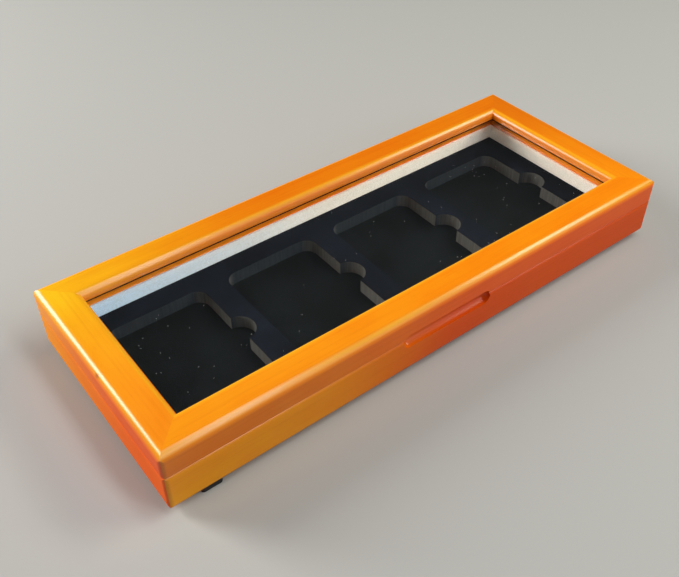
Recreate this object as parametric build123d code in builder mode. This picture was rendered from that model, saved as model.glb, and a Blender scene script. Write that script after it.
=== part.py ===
# Hinged wooden display case with a glazed lid and a flocked insert for four coin slabs.
# Millimetres. X runs along the case, the front faces -Y, Z is up.
# The origin is on the table, under the middle of the case.
import math
import os

from build123d import *

os.makedirs("parts", exist_ok=True)

# ---- Driving dimensions ----

# Slabs, and the pockets of the insert that hold them
slab_width = 63.0
slab_length = 86.0
slab_side_play = 2.3
slab_end_play = 2.4
pocket_count = 4
pocket_web = 16.2  # board between two pockets
pocket_corner = 8.5
notch_radius = 10.4
notch_inset = 0.9  # centre of the notch inside the pocket wall
board_end_margin = 8.95  # board left of the first pocket, and right of the last notch
board_side_margin = 15.4  # board in front of the pockets and behind them
insert_thickness = 9.2
insert_play = 0.4
backing_thickness = 0.5

# Outside of the case
base_height = 24.9
lid_height = 16.1
joint_gap = 0.3  # reveal between the two rims
wall_thickness = 15.4  # of the lid, and of the base with its lining
corner_radius = 3.0  # upright corners

# Lid frame
lip_width = 21.6  # outside face to the edge of the window
lip_thickness = 6.2
top_roundover = 4.8  # outer edge and window edge
lid_rim_roundover = 0.7

# Pane, held in a groove under the lip against a soft seal
glass_thickness = 2.0
glass_play = 0.2  # above and below the pane
groove_depth = 3.0
glass_edge_gap = 0.4  # pane and seal clear of the bottom of the groove
seal_thickness = 1.2
seal_setback = 0.3  # behind the edge of the window

# Base frame and its linings
liner_thickness = 1.0
liner_drop = 1.6  # top of the lining below the rim
rim_roundover = 2.2
bottom_roundover = 3.2
panel_thickness = 4.0
panel_ledge = 5.0  # width of the rabbet for the panel
panel_play = 0.15

# Finger pull across the joint
pull_radius = 4.9
pull_length = 66.8
pull_drop = 1.9  # its axis below the joint

# Hinges
hinge_inset = 3.0  # pin axis from the back face
bevel_angle = 50.0  # each back edge, so the lid stops a little past upright
hinge_end_inset = 70.0  # middle of a hinge from the end of the case
hinge_length = 25.0
leaf_reach = 10.0  # pin axis to the front edge of a leaf
leaf_thickness = 0.9
knuckle_radius = 1.9
knuckle_gap = 0.3
recess_play = 0.35  # wood clear of the knuckles
mortise_play = 0.1
pin_radius = 0.8
pin_play = 0.05
screw_spacing = 15.0
screw_setback = 6.3  # pin axis to the screws
screw_length = 8.0
screw_radius = 0.9
screw_play = 0.05
countersink_angle = 90.0  # heads as deep as the leaf is thick
slot_width = 0.4
slot_depth = 0.35

# Magnets in the front rims
magnet_radius = 4.0
magnet_thickness = 2.0
magnet_play = 0.1
magnet_end_inset = 104.0  # middle of a magnet from the end of the case

# Rubber feet, stuck on by hand
foot_size = 12.7
foot_height = 4.3
foot_corner = 1.0
foot_taper = 2.0  # degrees
foot_end_inset = 25.4  # centre of a foot from the end of the case
foot_side_inset = 12.4  # centre of a foot from the long side
near_foot_side_inset = 8.35  # the front left foot sits closer to the edge

# ---- Sizes, levels and places that follow ----

pocket_width = slab_width + slab_side_play
pocket_length = slab_length + slab_end_play
pocket_pitch = pocket_width + pocket_web
notch_reach = notch_radius - notch_inset
pocket_run = pocket_count * pocket_pitch - pocket_web + notch_reach
case_length = pocket_run + 2 * board_end_margin + 2 * wall_thickness
case_width = pocket_length + 2 * board_side_margin + 2 * wall_thickness

base_bottom = foot_height
base_rim = base_bottom + base_height
lid_rim = base_rim + joint_gap
lid_top = lid_rim + lid_height
joint_level = (base_rim + lid_rim) / 2

groove_top = lid_top - lip_thickness
seal_bottom = groove_top - seal_thickness
glass_top = seal_bottom - glass_play
glass_bottom = glass_top - glass_thickness
groove_bottom = glass_bottom - glass_play
groove_inset = wall_thickness - groove_depth

panel_top = base_bottom + panel_thickness
backing_top = panel_top + backing_thickness
base_wall = wall_thickness - liner_thickness
rabbet_inset = base_wall - panel_ledge

pull_level = joint_level - pull_drop
hinge_y = case_width / 2 - hinge_inset
hinge_spacing = case_length - 2 * hinge_end_inset
bevel_reach = 2 * hinge_inset  # runs out past the back face
bevel_rise = bevel_reach * math.tan(math.radians(bevel_angle))
recess_radius = knuckle_radius + recess_play
bore_radius = pin_radius + pin_play
magnet_y = -(case_width - wall_thickness) / 2
magnet_spacing = case_length - 2 * magnet_end_inset
screw_y = hinge_y - screw_setback
screw_head_radius = screw_radius + leaf_thickness * math.tan(math.radians(countersink_angle / 2))
knuckle_pitch = hinge_length / 3


def inset_box(inset, bottom, top, mode):
    """Block between two levels, set in from the outside of the case on all four sides."""
    with BuildSketch(Plane.XY.offset(bottom)) as outline:
        Rectangle(case_length - 2 * inset, case_width - 2 * inset)
    extrude(outline.sketch, amount=top - bottom, mode=mode)


def rounded_corners(bottom, top):
    """Round the four upright corners of a frame."""
    with BuildSketch(Plane.XY.offset(bottom)) as outline:
        RectangleRounded(case_length, case_width, corner_radius)
    extrude(outline.sketch, amount=top - bottom, mode=Mode.INTERSECT)


def back_bevel(rim, direction):
    """Bevel the back edge at a rim, from the pin axis outwards. Direction points into the wood."""
    with BuildSketch(Plane.YZ) as outline:
        with BuildLine():
            Polyline(
                (hinge_y, rim),
                (hinge_y + bevel_reach, rim),
                (hinge_y + bevel_reach, rim + direction * bevel_rise),
                close=True,
            )
        make_face()
    extrude(outline.sketch, amount=case_length / 2, both=True, mode=Mode.SUBTRACT)


def hinge_cuts(rim, direction):
    """Mortises, knuckle recesses and screw holes in a rim. Direction points into the wood."""
    mortise_length = hinge_length + 2 * mortise_play
    mortise_level = rim + direction * leaf_thickness / 2
    hole_depth = screw_length + screw_play
    with GridLocations(hinge_spacing, 0, 2, 1):
        with Locations((0, hinge_y - leaf_reach / 2, mortise_level)):
            Box(mortise_length, leaf_reach + 2 * mortise_play, leaf_thickness, mode=Mode.SUBTRACT)
        with Locations((0, hinge_y, joint_level)):
            Cylinder(recess_radius, mortise_length, rotation=(0, 90, 0), mode=Mode.SUBTRACT)
        with Locations((0, screw_y, rim + direction * hole_depth / 2)):
            with GridLocations(screw_spacing, 0, 2, 1):
                Cylinder(screw_radius + screw_play, hole_depth, mode=Mode.SUBTRACT)


def magnet_holes(rim, direction):
    """Two blind holes in the front rim. Direction points into the wood."""
    depth = magnet_thickness + magnet_play
    with Locations((0, magnet_y, rim + direction * depth / 2)):
        with GridLocations(magnet_spacing, 0, 2, 1):
            Cylinder(magnet_radius + magnet_play, depth, mode=Mode.SUBTRACT)


def finger_pull():
    """Round-bottomed slot with ball ends, centred on the front face just under the joint."""
    run = pull_length - 2 * pull_radius
    with Locations((0, -case_width / 2, pull_level)):
        Cylinder(pull_radius, run, rotation=(0, 90, 0), mode=Mode.SUBTRACT)
        with GridLocations(run, 0, 2, 1):
            Sphere(pull_radius, mode=Mode.SUBTRACT)


def left_mitres(depth, bottom, top):
    """Keep the left end of a frame, between its two mitres."""
    left = -case_length / 2
    back = case_width / 2
    with BuildSketch(Plane.XY.offset(bottom)) as outline:
        with BuildLine():
            Polyline(
                (left, -back),
                (left + depth, depth - back),
                (left + depth, back - depth),
                (left, back),
                close=True,
            )
        make_face()
    extrude(outline.sketch, amount=top - bottom, mode=Mode.INTERSECT)


def split_frame(frame, depth, bottom, top):
    """Saw a frame into its four mitred rails: left, right, front and back."""
    with BuildPart() as left:
        add(frame)
        left_mitres(depth, bottom, top)
    with BuildPart() as right:
        mirror(left.part, about=Plane.YZ)
    with BuildPart() as front:
        add(frame)
        add(left.part, mode=Mode.SUBTRACT)
        add(right.part, mode=Mode.SUBTRACT)
        split(bisect_by=Plane.XZ, keep=Keep.TOP)
    with BuildPart() as back:
        add(frame)
        add(left.part, mode=Mode.SUBTRACT)
        add(right.part, mode=Mode.SUBTRACT)
        split(bisect_by=Plane.XZ, keep=Keep.BOTTOM)
    return {"left": left.part, "right": right.part, "front": front.part, "back": back.part}


def hinge_leaf(centre_x, rim, direction, own, other):
    """One leaf with its own knuckles, cut away around the other leaf's.

    Direction points into the wood of the rim. Knuckles are counted from the middle one.
    """
    plate_length = leaf_reach - bore_radius - knuckle_gap
    plate_y = hinge_y - leaf_reach + plate_length / 2
    turn = 180 if direction > 0 else 0
    with BuildPart() as leaf:
        with Locations((centre_x, plate_y, rim + direction * leaf_thickness / 2)):
            Box(hinge_length, plate_length, leaf_thickness)
        with Locations((centre_x, screw_y, rim + direction * leaf_thickness / 2)):
            with GridLocations(screw_spacing, 0, 2, 1):
                Cone(
                    screw_radius + screw_play,
                    screw_head_radius + screw_play,
                    leaf_thickness,
                    rotation=(turn, 0, 0),
                    mode=Mode.SUBTRACT,
                )
        with Locations((centre_x, hinge_y, joint_level)):
            with Locations([(place * knuckle_pitch, 0, 0) for place in other]):
                Cylinder(
                    knuckle_radius + knuckle_gap,
                    knuckle_pitch + knuckle_gap,
                    rotation=(0, 90, 0),
                    mode=Mode.SUBTRACT,
                )
            with Locations([(place * knuckle_pitch, 0, 0) for place in own]):
                Cylinder(knuckle_radius, knuckle_pitch - knuckle_gap, rotation=(0, 90, 0))
            Cylinder(bore_radius, hinge_length, rotation=(0, 90, 0), mode=Mode.SUBTRACT)
    return leaf.part


def hinge_screws(rim, direction):
    """The screws of both leaves on one rim. Direction points into the wood."""
    turn = 180 if direction > 0 else 0
    with BuildPart() as screw:
        with BuildSketch(Plane.XZ) as outline:
            with BuildLine():
                Polyline(
                    (0, 0),
                    (screw_head_radius, 0),
                    (screw_radius, -leaf_thickness),
                    (screw_radius, -screw_length),
                    (0, -screw_length),
                    close=True,
                )
            make_face()
        revolve(outline.sketch, axis=Axis.Z)
        with Locations((0, 0, -slot_depth / 2)):
            Box(2 * screw_head_radius, slot_width, slot_depth, mode=Mode.SUBTRACT)
    with BuildPart() as screws:
        with Locations((0, screw_y, rim)):
            with GridLocations(hinge_spacing, 0, 2, 1):
                with GridLocations(screw_spacing, 0, 2, 1):
                    add(screw.part, rotation=(turn, 0, 0))
    return screws.part


def rim_magnets(rim, direction):
    """Two discs flush with the front rim. Direction points into the wood."""
    with BuildPart() as magnets:
        with Locations((0, magnet_y, rim + direction * magnet_thickness / 2)):
            with GridLocations(magnet_spacing, 0, 2, 1):
                Cylinder(magnet_radius, magnet_thickness)
    return magnets.part


def save(part, name):
    """Label a finished piece and write it under its own name."""
    part.label = name
    export_step(part, f"parts/{name}.step")


# ---- Lid frame: rounded moulding with a lip over the pane and a groove that holds it ----

with BuildPart() as lid_frame:
    inset_box(0, lid_rim, lid_top, Mode.ADD)
    fillet(lid_frame.edges().group_by(Axis.Z)[-1], top_roundover)
    fillet(lid_frame.edges().group_by(Axis.Z)[0], lid_rim_roundover)
    inset_box(lip_width, lid_rim, lid_top, Mode.SUBTRACT)
    window = lid_frame.faces().sort_by(Axis.Z)[-1].inner_wires()
    fillet(window.edges(), top_roundover)
    inset_box(wall_thickness, lid_rim, groove_top, Mode.SUBTRACT)
    inset_box(groove_inset, groove_bottom, groove_top, Mode.SUBTRACT)
    rounded_corners(lid_rim, lid_top)
    back_bevel(lid_rim, 1)
    hinge_cuts(lid_rim, 1)
    magnet_holes(lid_rim, 1)
    finger_pull()

lid_rails = split_frame(lid_frame.part, lip_width, lid_rim, lid_top)
for side, rail in lid_rails.items():
    save(rail, f"lid_rail_{side}")

# ---- Pane, slid into the groove before the frame was glued ----

with BuildPart() as lid_glass:
    inset_box(groove_inset + glass_edge_gap, glass_bottom, glass_top, Mode.ADD)
save(lid_glass.part, "lid_glass")

# ---- Seal: a soft black strip stuck under the lip, all round the pane ----

with BuildPart() as pane_seal:
    inset_box(groove_inset + glass_edge_gap, seal_bottom, groove_top, Mode.ADD)
    inset_box(lip_width - seal_setback, seal_bottom, groove_top, Mode.SUBTRACT)
save(pane_seal.part, "pane_seal")

# ---- Base frame: plain rails, rebated underneath for the bottom panel ----

with BuildPart() as base_frame:
    inset_box(0, base_bottom, base_rim, Mode.ADD)
    fillet(base_frame.edges().group_by(Axis.Z)[-1], rim_roundover)
    fillet(base_frame.edges().group_by(Axis.Z)[0], bottom_roundover)
    inset_box(base_wall, base_bottom, base_rim, Mode.SUBTRACT)
    inset_box(rabbet_inset, base_bottom, panel_top, Mode.SUBTRACT)
    rounded_corners(base_bottom, base_rim)
    back_bevel(base_rim, -1)
    hinge_cuts(base_rim, -1)
    magnet_holes(base_rim, -1)
    finger_pull()

base_rails = split_frame(base_frame.part, base_wall, base_bottom, base_rim)
for side, rail in base_rails.items():
    save(rail, f"base_rail_{side}")

# ---- Bottom panel, flush with the underside ----

with BuildPart() as base_panel:
    inset_box(rabbet_inset + panel_play, base_bottom, panel_top, Mode.ADD)
save(base_panel.part, "base_panel")

# ---- Pale linings glued to the inner walls of the base ----

long_liner_length = case_length - 2 * base_wall
end_liner_length = case_width - 2 * wall_thickness
long_liner_y = (case_width - wall_thickness - base_wall) / 2
end_liner_x = (case_length - wall_thickness - base_wall) / 2

linings = {
    "front": (0, -long_liner_y, long_liner_length, liner_thickness),
    "back": (0, long_liner_y, long_liner_length, liner_thickness),
    "left": (-end_liner_x, 0, liner_thickness, end_liner_length),
    "right": (end_liner_x, 0, liner_thickness, end_liner_length),
}
for side, (x, y, length_x, length_y) in linings.items():
    with BuildPart() as liner:
        with BuildSketch(Plane.XY.offset(panel_top)):
            with Locations((x, y)):
                Rectangle(length_x, length_y)
        extrude(amount=base_rim - liner_drop - panel_top)
    save(liner.part, f"liner_{side}")

# ---- Backing sheet: the floor of the pockets ----

with BuildPart() as insert_backing:
    inset_box(wall_thickness + insert_play, panel_top, backing_top, Mode.ADD)
save(insert_backing.part, "insert_backing")

# ---- Flocked board with four slab pockets, each with a finger notch on its right ----

insert_top = backing_top + insert_thickness
with BuildPart() as insert_board:
    inset_box(wall_thickness + insert_play, backing_top, insert_top, Mode.ADD)
    with BuildSketch(Plane.XY.offset(backing_top)):
        with Locations((-notch_reach / 2, 0)):
            with GridLocations(pocket_pitch, 0, pocket_count, 1):
                RectangleRounded(pocket_width, pocket_length, pocket_corner)
                with Locations((pocket_width / 2 - notch_inset, 0)):
                    Circle(notch_radius)
    extrude(amount=insert_thickness, mode=Mode.SUBTRACT)
save(insert_board.part, "insert_board")

# ---- Butt hinges: three knuckles on a pin, leaves let into the rims ----

outer_knuckles = [-1, 1]
middle_knuckle = [0]
for side, centre in {"left": -hinge_spacing / 2, "right": hinge_spacing / 2}.items():
    base_leaf = hinge_leaf(centre, base_rim, -1, outer_knuckles, middle_knuckle)
    save(base_leaf, f"base_hinge_leaf_{side}")
    lid_leaf = hinge_leaf(centre, lid_rim, 1, middle_knuckle, outer_knuckles)
    save(lid_leaf, f"lid_hinge_leaf_{side}")
    with BuildPart() as pin:
        with Locations((centre, hinge_y, joint_level)):
            Cylinder(pin_radius, hinge_length, rotation=(0, 90, 0))
    save(pin.part, f"hinge_pin_{side}")

save(hinge_screws(base_rim, -1), "base_hinge_screws")
save(hinge_screws(lid_rim, 1), "lid_hinge_screws")

# ---- Magnets that hold the lid shut ----

save(rim_magnets(base_rim, -1), "base_magnets")
save(rim_magnets(lid_rim, 1), "lid_magnets")

# ---- Rubber feet ----

foot_x = case_length / 2 - foot_end_inset
foot_y = case_width / 2 - foot_side_inset
foot_places = {
    "front_left": (-foot_x, near_foot_side_inset - case_width / 2),
    "front_right": (foot_x, -foot_y),
    "back_left": (-foot_x, foot_y),
    "back_right": (foot_x, foot_y),
}
for corner, place in foot_places.items():
    with BuildPart() as foot:
        with BuildSketch(Plane.XY.offset(foot_height)):
            with Locations(place):
                Rectangle(foot_size, foot_size)
        extrude(amount=-foot_height, taper=foot_taper)
        chamfer(foot.edges().filter_by(Plane.XY, reverse=True), foot_corner)
    save(foot.part, f"foot_{corner}")
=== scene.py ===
import math

import bpy
import numpy as np
from mathutils import Euler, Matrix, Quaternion, Vector


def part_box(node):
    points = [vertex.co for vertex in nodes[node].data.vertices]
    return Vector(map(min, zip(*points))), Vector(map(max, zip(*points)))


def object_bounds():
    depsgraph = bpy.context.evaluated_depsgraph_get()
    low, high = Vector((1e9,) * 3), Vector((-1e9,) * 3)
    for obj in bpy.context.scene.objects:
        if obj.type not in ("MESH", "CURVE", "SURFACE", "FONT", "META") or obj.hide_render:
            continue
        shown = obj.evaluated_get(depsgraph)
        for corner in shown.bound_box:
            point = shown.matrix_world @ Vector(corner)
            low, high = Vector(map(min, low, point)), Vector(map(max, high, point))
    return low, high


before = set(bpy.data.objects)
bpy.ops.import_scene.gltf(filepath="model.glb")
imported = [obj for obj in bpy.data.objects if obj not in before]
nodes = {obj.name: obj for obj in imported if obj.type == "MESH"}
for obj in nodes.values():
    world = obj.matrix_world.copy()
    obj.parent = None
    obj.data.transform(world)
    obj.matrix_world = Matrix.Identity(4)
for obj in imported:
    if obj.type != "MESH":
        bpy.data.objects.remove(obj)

cad_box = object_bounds()


# ---- Base rails ----
# Solid hardwood mouldings, mitred and glued, stained cherry-orange and sprayed with a satin lacquer.
# The stain is golden at the left end of the case and redder at the right, partly in the stain and partly
# painted light that falls off to the right. Grain runs along each rail.

def linear(colour):
    """Linear colour from an sRGB hex value: each channel through the sRGB curve, with alpha 1."""
    parts = np.array([int(colour[i:i + 2], 16) for i in (0, 2, 4)]) / 255
    curve = np.where(parts <= 0.04045, parts / 12.92, ((parts + 0.055) / 1.055) ** 2.4)
    return (*curve.tolist(), 1.0)


def add(tree, kind, inputs=None, **settings):
    """Add one node and return the output it uses.

    Settings are the node's own properties. An input given as an output is linked, and any other is set.
    """
    node = tree.nodes.new(kind)
    for name, value in settings.items():
        setattr(node, name, value)
    for key, value in (inputs or {}).items():
        if isinstance(value, bpy.types.NodeSocket):
            tree.links.new(value, node.inputs[key])
        else:
            node.inputs[key].default_value = value
    return next(socket for socket in node.outputs if socket.enabled)


def new_material(name, **constants):
    """A material with one Principled shader, whose constants are given by the names of its inputs."""
    material = bpy.data.materials.new(name)
    material.use_nodes = True
    shader = material.node_tree.nodes["Principled BSDF"]
    for key, value in constants.items():
        shader.inputs[key.replace("_", " ")].default_value = value
    return material, material.node_tree, shader.inputs


def lacquered_cherry(name, lacquer, along, reach, above, beside):
    """Stained hardwood under satin lacquer, with the grain along one axis.

    The lacquer is the only glossy layer: broad soft highlights on rounded edges, no shine from the wood.
    The stain goes from one colour to another along the rail, within a reach: partly a change in the stain,
    partly painted light that falls off along the case. The colours of the sides differ from those of the
    top as painted shade. It is clouded by how the wood took it up, and the rounded top edges carry a
    painted golden highlight. The coat is denser than lacquer but weak, to mirror less of the floor at a
    slant.
    """
    material, tree, inputs = new_material(
        name, Roughness=0.6, Specular_IOR_Level=0.0, Coat_Weight=lacquer, Coat_Roughness=0.22, Coat_IOR=1.9
    )
    place = tree.nodes.new("ShaderNodeTexCoord").outputs["Object"]
    parts = add(tree, "ShaderNodeSeparateXYZ", {0: place}).node.outputs
    # Ramp along the rail: partly a change in the stain, partly painted light falling off along the case.
    end = add(
        tree, "ShaderNodeMapRange", {0: parts[along], 1: reach[0], 2: reach[1]},
        interpolation_type="SMOOTHSTEP",
    )
    top, side = (
        add(tree, "ShaderNodeMix", {0: end, 6: linear(first), 7: linear(last)}, data_type="RGBA")
        for first, last in (above, beside)
    )
    flat_top = cad_box[1][2]  # the levels below are depths under it, down the lid's rounded edge
    # Below the flat top the side colours take over: painted shade on the sides.
    below = add(tree, "ShaderNodeMapRange", {0: parts["Z"], 1: flat_top - 0.0008, 2: flat_top - 0.0044})
    stain_with_painted_side_shade = add(tree, "ShaderNodeMix", {0: below, 6: top, 7: side}, data_type="RGBA")
    # A golden band along the rounded top edges: painted highlight.
    from_top = add(
        tree, "ShaderNodeMapRange", {0: parts["Z"], 1: flat_top, 2: flat_top - 0.0004, 4: 0.8}
    )
    from_side = add(
        tree, "ShaderNodeMapRange", {0: parts["Z"], 1: flat_top - 0.0026, 2: flat_top - 0.0010, 4: 0.8}
    )
    rubbed = add(tree, "ShaderNodeMath", {0: from_top, 1: from_side}, operation="MINIMUM")
    stain_and_painted_light = add(
        tree, "ShaderNodeMix", {0: rubbed, 6: stain_with_painted_side_shade, 7: linear("ffb620")}, data_type="RGBA"
    )

    cloud_size = np.full(3, 0.022)
    cloud_size[along] = 0.05
    spread = add(tree, "ShaderNodeMapping", {0: place, 3: 1 / cloud_size})
    cloud = add(tree, "ShaderNodeTexNoise", {"Vector": spread, "Scale": 1.0, "Detail": 3.0})
    depth = add(tree, "ShaderNodeMapRange", {0: cloud, 1: 0.38, 2: 0.66, 4: 0.75})
    clouded = add(
        tree, "ShaderNodeMix", {0: depth, 6: stain_and_painted_light, 7: linear("fbead6")},
        data_type="RGBA", blend_type="MULTIPLY",
    )

    streak_size = np.full(3, 0.0016)
    streak_size[along] = 0.07
    spread = add(tree, "ShaderNodeMapping", {0: place, 3: 1 / streak_size})
    streak = add(tree, "ShaderNodeTexNoise", {"Vector": spread, "Scale": 1.0, "Detail": 4.0})
    depth = add(tree, "ShaderNodeMapRange", {0: streak, 1: 0.48, 2: 0.78, 4: 0.2})
    streaked = add(
        tree, "ShaderNodeMix", {0: depth, 6: clouded, 7: linear("e2b48c")},
        data_type="RGBA", blend_type="MULTIPLY",
    )

    pore_size = np.full(3, 0.0006)  # a pore is a third as wide, but would not show
    pore_size[along] = 0.007
    spread = add(tree, "ShaderNodeMapping", {0: place, 3: 1 / pore_size})
    pore = add(tree, "ShaderNodeTexNoise", {"Vector": spread, "Scale": 1.0, "Detail": 2.0})
    depth = add(tree, "ShaderNodeMapRange", {0: pore, 1: 0.62, 2: 0.8, 4: 0.25})
    pored = add(
        tree, "ShaderNodeMix", {0: depth, 6: streaked, 7: linear("d89a6c")},
        data_type="RGBA", blend_type="MULTIPLY",
    )
    tree.links.new(pored, inputs["Base Color"])

    relief = add(tree, "ShaderNodeBump", {"Strength": 0.1, "Distance": 0.0002, "Height": streak})
    tree.links.new(relief, inputs["Normal"])
    tree.links.new(relief, inputs["Coat Normal"])
    return material


def dress(node, material):
    """Give a CAD node its finish."""
    mesh = nodes[node].data
    mesh.materials.clear()
    mesh.materials.append(material)


base_lacquer = 0.3
# Each rail: the axis of its grain, the reach of the change of colour, and the two colours of its sides
base_stains = {
    "front": (0, (-0.14, 0.02), ("ec9a12", "da5208")),
    "back": (0, (-0.13, 0.04), ("ee9016", "e8740f")),
    "left": (1, (-0.05, 0.08), ("fb6c10", "ff9c12")),
    "right": (1, (-0.06, 0.07), ("e07c1a", "dc7216")),
}
for side, (along, reach, beside) in base_stains.items():
    dress(
        f"base_rail_{side}",
        lacquered_cherry(f"lacquered_cherry_base_{side}", base_lacquer, along, reach, beside, beside),
    )


# ---- Bottom panel ----
# Thin plywood panel in a rebate under the base frame, stained to match but left matt.
# Matt stain shows the veneer's darker lines plainly.

stained_plywood, tree, inputs = new_material("stained_plywood", Roughness=0.75)
place = tree.nodes.new("ShaderNodeTexCoord").outputs["Object"]
veneer_line = np.array((0.09, 0.0018, 0.0018))
spread = add(tree, "ShaderNodeMapping", {0: place, 3: 1 / veneer_line})
veneer = add(tree, "ShaderNodeTexNoise", {"Vector": spread, "Scale": 1.0, "Detail": 4.0})
depth = add(tree, "ShaderNodeMapRange", {0: veneer, 1: 0.35, 2: 0.7})
colour = add(
    tree, "ShaderNodeMix", {0: depth, 6: linear("a86a34"), 7: linear("7c4520")}, data_type="RGBA"
)
tree.links.new(colour, inputs["Base Color"])
relief = add(tree, "ShaderNodeBump", {"Strength": 0.3, "Distance": 0.0002, "Height": veneer})
tree.links.new(relief, inputs["Normal"])
dress("base_panel", stained_plywood)


# ---- Linings ----
# Strips of pale embossed paper glued to the inner walls of the base, with a painted cool blue light at the
# left end of the case.
# The embossing is a fine speckle that takes the evenness out of the white.

embossed_paper, tree, inputs = new_material("embossed_lining_paper", Roughness=0.8)
place = tree.nodes.new("ShaderNodeTexCoord").outputs["Object"]
x = add(tree, "ShaderNodeSeparateXYZ", {0: place})
# Ramp from the left end: a cool blue tint painted in for skylight, warming to cream at the right.
end = add(tree, "ShaderNodeMapRange", {0: x, 1: -0.17, 2: 0.02})
paper_tint_painted_skylight = add(tree, "ShaderNodeMix", {0: end, 6: linear("bfe2ff"), 7: linear("fcf6ea")}, data_type="RGBA")
speck_size = np.full(3, 0.0008)
spread = add(tree, "ShaderNodeMapping", {0: place, 3: 1 / speck_size})
speck = add(tree, "ShaderNodeTexNoise", {"Vector": spread, "Scale": 1.0, "Detail": 2.0})
depth = add(tree, "ShaderNodeMapRange", {0: speck, 1: 0.42, 2: 0.66})
colour = add(
    tree, "ShaderNodeMix", {0: depth, 6: paper_tint_painted_skylight, 7: linear("f2f0ea")},
    data_type="RGBA", blend_type="MULTIPLY",
)
tree.links.new(colour, inputs["Base Color"])
relief = add(tree, "ShaderNodeBump", {"Strength": 0.25, "Distance": 0.0002, "Height": speck})
tree.links.new(relief, inputs["Normal"])
for side in ("front", "back", "left", "right"):
    dress(f"liner_{side}", embossed_paper)


# ---- Insert ----
# Die-cut foam board over a backing sheet, both covered in black flock, soft at the cut edges. The cut walls
# show a greyer core, painted lighter on the walls that face the ends of the case: painted light from the
# side.

def black_flock(name, pile, hollow):
    """Short black fibres on end: no gloss, and patches that a finger has brushed one way."""
    material, tree, inputs = new_material(name, Roughness=1.0, Specular_IOR_Level=0.05)
    place = tree.nodes.new("ShaderNodeTexCoord").outputs["Object"]
    brushed = add(tree, "ShaderNodeTexNoise", {"Vector": place, "Scale": 1 / 0.03, "Detail": 2.0})
    depth = add(tree, "ShaderNodeMapRange", {0: brushed, 1: 0.35, 2: 0.65})
    nap = add(tree, "ShaderNodeMix", {0: depth, 6: linear(hollow), 7: linear(pile)}, data_type="RGBA")
    tree.links.new(nap, inputs["Base Color"])
    fibre_size = 0.0005  # a fibre is a tenth of that, but would not show
    fibres = add(tree, "ShaderNodeTexNoise", {"Vector": place, "Scale": 1 / fibre_size, "Detail": 2.0})
    relief = add(tree, "ShaderNodeBump", {"Strength": 0.5, "Distance": 0.0003, "Height": fibres})
    tree.links.new(relief, inputs["Normal"])
    return material, tree, inputs, nap


sheet_flock, *_ = black_flock("black_flocked_sheet", "101416", "090c0d")
dress("insert_backing", sheet_flock)

# The board's black is tinted blue: a painted blue reflection on the flock.
board_flock, tree, inputs, nap = black_flock("black_flocked_board", "11161e", "0a0e14")
place = tree.nodes.new("ShaderNodeTexCoord").outputs["Object"]
facing = tree.nodes.new("ShaderNodeNewGeometry").outputs["True Normal"]
parts = add(tree, "ShaderNodeSeparateXYZ", {0: facing}).node.outputs
level = add(tree, "ShaderNodeMath", {0: parts["Z"]}, operation="ABSOLUTE")
cut_wall = add(tree, "ShaderNodeMapRange", {0: level, 1: 0.3, 2: 0.1})
# Walls facing the ends of the case get a lighter core than those facing front and back: painted light.
across = add(tree, "ShaderNodeMath", {0: parts["X"]}, operation="ABSOLUTE")
end_walls_painted_lit = add(tree, "ShaderNodeMapRange", {0: across, 1: 0.25, 2: 0.95})
knife_mark = np.array((0.0012, 0.0012, 0.03))
spread = add(tree, "ShaderNodeMapping", {0: place, 3: 1 / knife_mark})
marks = add(tree, "ShaderNodeTexNoise", {"Vector": spread, "Scale": 1.0, "Detail": 2.0})
depth = add(tree, "ShaderNodeMapRange", {0: marks, 1: 0.35, 2: 0.65})
painted_lit_core = add(
    tree, "ShaderNodeMix", {0: depth, 6: linear("5c5b56"), 7: linear("504f4b")}, data_type="RGBA"
)
painted_shaded_core = add(
    tree, "ShaderNodeMix", {0: depth, 6: linear("2b3135"), 7: linear("252a2f")}, data_type="RGBA"
)
core_with_painted_light = add(tree, "ShaderNodeMix", {0: end_walls_painted_lit, 6: painted_shaded_core, 7: painted_lit_core}, data_type="RGBA")
colour = add(tree, "ShaderNodeMix", {0: cut_wall, 6: nap, 7: core_with_painted_light}, data_type="RGBA")
tree.links.new(colour, inputs["Base Color"])
dress("insert_board", board_flock)

board = nodes["insert_board"]
board.modifiers.new("join_facets", "WELD").merge_threshold = 1e-5
flat = board.modifiers.new("join_flats", "DECIMATE")
flat.decimate_type = "DISSOLVE"
flat.angle_limit = math.radians(0.5)
soft_edge = board.modifiers.new("soft_flock_edge", "BEVEL")
soft_edge.width = 0.0007
soft_edge.segments = 3
soft_edge.limit_method = "ANGLE"
soft_edge.angle_limit = math.radians(50)
soft_edge.use_clamp_overlap = True
board.modifiers.new("flat_faces_first", "WEIGHTED_NORMAL")


# ---- Hinges, pins and screws ----
# Stamped brass leaves rolled round brass pins, with countersunk slotted brass screws. Polished once,
# now a little dull: tarnish makes the shine uneven.

polished_brass, tree, inputs = new_material("polished_brass", Metallic=1.0)
place = tree.nodes.new("ShaderNodeTexCoord").outputs["Object"]
tarnish = add(tree, "ShaderNodeTexNoise", {"Vector": place, "Scale": 1 / 0.004, "Detail": 4.0})
depth = add(tree, "ShaderNodeMapRange", {0: tarnish, 1: 0.4, 2: 0.75})
colour = add(
    tree, "ShaderNodeMix", {0: depth, 6: linear("e3bd6a"), 7: linear("b98f45")}, data_type="RGBA"
)
tree.links.new(colour, inputs["Base Color"])
dullness = add(tree, "ShaderNodeMapRange", {0: tarnish, 1: 0.3, 2: 0.8, 3: 0.18, 4: 0.38})
tree.links.new(dullness, inputs["Roughness"])
for side in ("left", "right"):
    dress(f"base_hinge_leaf_{side}", polished_brass)
    dress(f"lid_hinge_leaf_{side}", polished_brass)
    dress(f"hinge_pin_{side}", polished_brass)
for body in ("base", "lid"):
    dress(f"{body}_hinge_screws", polished_brass)


# ---- Magnets ----
# Nickel-plated discs pressed into blind holes in the front rims of the base and lid.
# Plating is smooth and bright, with faint marks from the other magnet.

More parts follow.
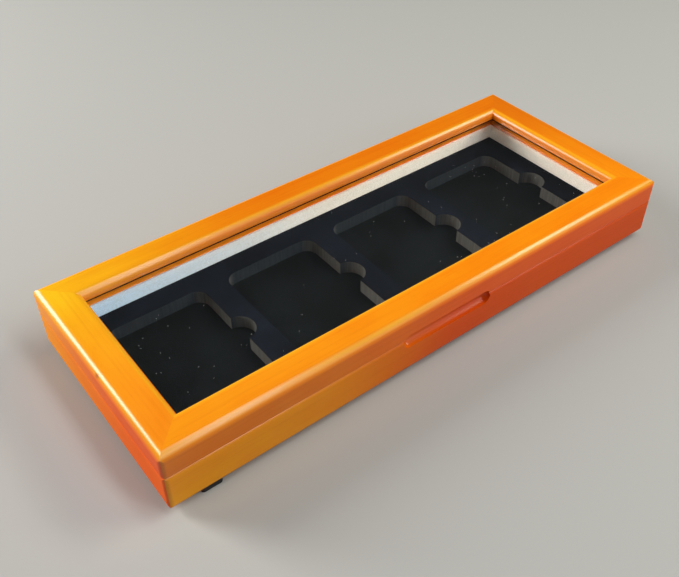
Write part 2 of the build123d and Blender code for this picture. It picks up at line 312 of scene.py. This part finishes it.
nickel_plating, tree, inputs = new_material("nickel_plating", Metallic=1.0)
place = tree.nodes.new("ShaderNodeTexCoord").outputs["Object"]
rubbing = add(tree, "ShaderNodeTexNoise", {"Vector": place, "Scale": 1 / 0.002, "Detail": 3.0})
colour = add(
    tree, "ShaderNodeMix", {0: rubbing, 6: linear("d6d3cc"), 7: linear("bfbcb6")}, data_type="RGBA"
)
tree.links.new(colour, inputs["Base Color"])
dullness = add(tree, "ShaderNodeMapRange", {0: rubbing, 1: 0.3, 2: 0.7, 3: 0.14, 4: 0.3})
tree.links.new(dullness, inputs["Roughness"])
for body in ("base", "lid"):
    dress(f"{body}_magnets", nickel_plating)


# ---- Lid rails ----
# The same hardwood and lacquer as the base, mitred at the corners, with both top edges rounded over.
# Each rail took the stain a little differently, and its colours also hold painted light and shade. The
# left one has a small dark knock in its rounded edge.

# As for the base, with the two colours of the top before those of the sides, which hold painted shade
lid_stains_with_painted_light = {
    "front": (0, (-0.13, 0.04), ("ff9e16", "fe920a"), ("de7a0a", "ea5c08")),
    "back": (0, (-0.21, -0.02), ("ffc01a", "ee8008"), ("ea9020", "e2801a")),
    "left": (1, (-0.04, 0.09), ("ff991a", "ffcc1c"), ("f5600e", "ffa010")),
    "right": (1, (-0.06, 0.07), ("fd940c", "e87a08"), ("e8881e", "e27e1a")),
}
lid_lacquer = 0.45
lid_finishes = {
    side: lacquered_cherry(f"lacquered_cherry_lid_{side}", lid_lacquer, *stain_and_painted_light)
    for side, stain_and_painted_light in lid_stains_with_painted_light.items()
}
for side, finish in lid_finishes.items():
    dress(f"lid_rail_{side}", finish)

tree = lid_finishes["left"].node_tree
inputs = tree.nodes["Principled BSDF"].inputs
stain_and_painted_light = inputs["Base Color"].links[0].from_socket
knock_centre = np.array((-0.1826, -0.0076, 0.0437))
knock_size = np.array((0.0013, 0.0022, 0.0013))
place = tree.nodes.new("ShaderNodeTexCoord").outputs["Object"]
from_knock = add(
    tree, "ShaderNodeMapping", {0: place, 1: -knock_centre / knock_size, 3: 1 / knock_size}
)
away = add(tree, "ShaderNodeVectorMath", {0: from_knock}, operation="LENGTH")
bruise = add(tree, "ShaderNodeMapRange", {0: away, 1: 0.2, 2: 1.2, 3: 0.7, 4: 0.0})
bruised = add(tree, "ShaderNodeMix", {0: bruise, 6: stain_and_painted_light, 7: linear("a03a12")}, data_type="RGBA")
tree.links.new(bruised, inputs["Base Color"])


# ---- Seal ----
# A strip of soft black foam stuck under the lip, all round the pane. It shows as a thin black line.
# Open foam has no gloss.

black_foam, tree, inputs = new_material("black_foam", Roughness=0.95, Specular_IOR_Level=0.1)
place = tree.nodes.new("ShaderNodeTexCoord").outputs["Object"]
cells = add(tree, "ShaderNodeTexNoise", {"Vector": place, "Scale": 1 / 0.0006, "Detail": 2.0})
colour = add(
    tree, "ShaderNodeMix", {0: cells, 6: linear("0b0b0b"), 7: linear("1a1918")}, data_type="RGBA"
)
tree.links.new(colour, inputs["Base Color"])
relief = add(tree, "ShaderNodeBump", {"Strength": 0.5, "Distance": 0.0003, "Height": cells})
tree.links.new(relief, inputs["Normal"])
dress("pane_seal", black_foam)


# ---- Pane ----
# Clear float glass slid into the groove of the lid, polished, with a few grains of dust on top.
# Lamps shine through it: to a shadow ray it is clear.

float_glass, tree, inputs = new_material(
    "float_glass", Base_Color=(1.0, 1.0, 1.0, 1.0), Roughness=0.0, IOR=1.5
)
place = tree.nodes.new("ShaderNodeTexCoord").outputs["Object"]
grain_spacing = 0.0022
grains = add(
    tree, "ShaderNodeTexVoronoi", {"Vector": place, "Scale": 1 / grain_spacing}, voronoi_dimensions="2D"
).node.outputs
pick = add(tree, "ShaderNodeSeparateColor", {0: grains["Color"]})
patches = add(tree, "ShaderNodeTexNoise", {"Vector": place, "Scale": 1 / 0.06, "Detail": 2.0})
fallen = add(tree, "ShaderNodeMapRange", {0: patches, 1: 0.45, 2: 0.7, 3: 0.996, 4: 0.965})
over = add(tree, "ShaderNodeMath", {0: pick, 1: fallen}, operation="SUBTRACT")
radius = add(tree, "ShaderNodeMapRange", {0: over, 1: 0.0, 2: 0.004, 3: 0.0, 4: 0.065})
on_grain = add(tree, "ShaderNodeMath", {0: grains["Distance"], 1: radius}, operation="LESS_THAN")
height = add(tree, "ShaderNodeSeparateXYZ", {0: place}).node.outputs["Z"]
top_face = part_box("lid_glass")[1][2]
rounding = 0.0001
on_top = add(tree, "ShaderNodeMath", {0: height, 1: top_face - rounding}, operation="GREATER_THAN")
dust = add(tree, "ShaderNodeMath", {0: on_grain, 1: on_top}, operation="MULTIPLY")
clear = add(tree, "ShaderNodeMapRange", {0: dust, 3: 1.0, 4: 0.35})
tree.links.new(clear, inputs["Transmission Weight"])
dullness = add(tree, "ShaderNodeMapRange", {0: dust, 3: 0.0, 4: 0.9})
tree.links.new(dullness, inputs["Roughness"])
shadow = tree.nodes.new("ShaderNodeLightPath").outputs["Is Shadow Ray"]
through = add(
    tree, "ShaderNodeMixShader",
    {0: shadow, 1: tree.nodes["Principled BSDF"].outputs[0], 2: add(tree, "ShaderNodeBsdfTransparent")},
)
tree.links.new(through, tree.nodes["Material Output"].inputs["Surface"])
dress("lid_glass", float_glass)


# ---- Feet ----
# Square stick-on feet of soft black rubber, moulded with a slight taper.
# Moulded rubber is dull, and a grey bloom of dust lies unevenly on it.

moulded_rubber, tree, inputs = new_material("moulded_black_rubber", Roughness=0.7)
place = tree.nodes.new("ShaderNodeTexCoord").outputs["Object"]
bloom = add(tree, "ShaderNodeTexNoise", {"Vector": place, "Scale": 1 / 0.003, "Detail": 3.0})
depth = add(tree, "ShaderNodeMapRange", {0: bloom, 1: 0.4, 2: 0.8})
colour = add(
    tree, "ShaderNodeMix", {0: depth, 6: linear("141416"), 7: linear("28282a")}, data_type="RGBA"
)
tree.links.new(colour, inputs["Base Color"])
relief = add(tree, "ShaderNodeBump", {"Strength": 0.2, "Distance": 0.0002, "Height": bloom})
tree.links.new(relief, inputs["Normal"])
for corner in ("front_left", "front_right", "back_left", "back_right"):
    dress(f"foot_{corner}", moulded_rubber)


# ---- Studio ----
# Plain pale floor. One softbox stands behind to the left and two tall ones hang over the front, a cool
# one and a warm one, with a dim wide one low in front. At the photograph's angle neither the pane nor the
# flat top mirrors any of them.

floor_half = 3.0
corners = np.array([(-1, -1, 0), (1, -1, 0), (1, 1, 0), (-1, 1, 0)]) * floor_half
floor_mesh = bpy.data.meshes.new("floor")
floor_mesh.from_pydata(corners.tolist(), [], [(0, 1, 2, 3)])
floor = bpy.data.objects.new("floor", floor_mesh)
bpy.context.scene.collection.objects.link(floor)
pale_floor, *_ = new_material(
    "pale_floor", Base_Color=linear("b9b9b7"), Roughness=0.9, Specular_IOR_Level=0.1
)
floor_mesh.materials.append(pale_floor)

room = bpy.data.worlds.new("room")
room.use_nodes = True
bpy.context.scene.world = room
room.node_tree.nodes["Background"].inputs["Color"].default_value = linear("ffffff")
room.node_tree.nodes["Background"].inputs["Strength"].default_value = 0.045

# Each softbox: degrees from overhead towards the front, then towards the right; distance, width, height;
# how brightly it lights a white face turned to it; tint
softboxes = {
    "behind_left": (-62, -37, 1.5, 0.5, 1.1, 1.12, (1.0, 0.97, 0.92)),
    "over_front_cool": (25, 12, 1.6, 0.28, 2.1, 0.48, (0.95, 0.97, 1.0)),
    "over_front_warm": (26, 42, 1.6, 0.30, 0.9, 0.42, (1.0, 0.97, 0.80)),
    "low_front": (66, 20, 1.6, 1.6, 0.8, 0.17, (1.0, 1.0, 1.0)),
}
centre = Vector((0, 0, 0.03))
for name, (forward, right, distance, width, height, level, tint) in softboxes.items():
    data = bpy.data.lights.new(name, "AREA")
    data.shape = "RECTANGLE"
    data.size = width
    data.size_y = height
    data.energy = level * math.pi ** 2 * distance ** 2
    data.color = tint
    lamp = bpy.data.objects.new(name, data)
    turn = Euler((math.radians(forward), math.radians(right), 0), "YXZ")
    lamp.rotation_mode = "YXZ"
    lamp.rotation_euler = turn
    lamp.location = centre + turn.to_matrix() @ Vector((0, 0, distance))
    bpy.context.scene.collection.objects.link(lamp)


# ---- Camera ----
# At the photograph's angle, found from the straight edges of the case.

camera_data = bpy.data.cameras.new("camera")
camera_data.sensor_width = 36.0
camera_data.lens = 44.694
camera = bpy.data.objects.new("camera", camera_data)
bpy.context.scene.collection.objects.link(camera)
eye = Vector((-0.25993, -0.31496, 0.36281))
target = Vector((-0.03518, -0.01817, 0.030))
tilt = math.radians(-0.518)
camera.location = eye
camera.rotation_mode = "QUATERNION"
camera.rotation_quaternion = (target - eye).to_track_quat("-Z", "Y") @ Quaternion((0, 0, 1), tilt)
bpy.context.scene.camera = camera
bpy.context.scene.view_settings.view_transform = "Standard"
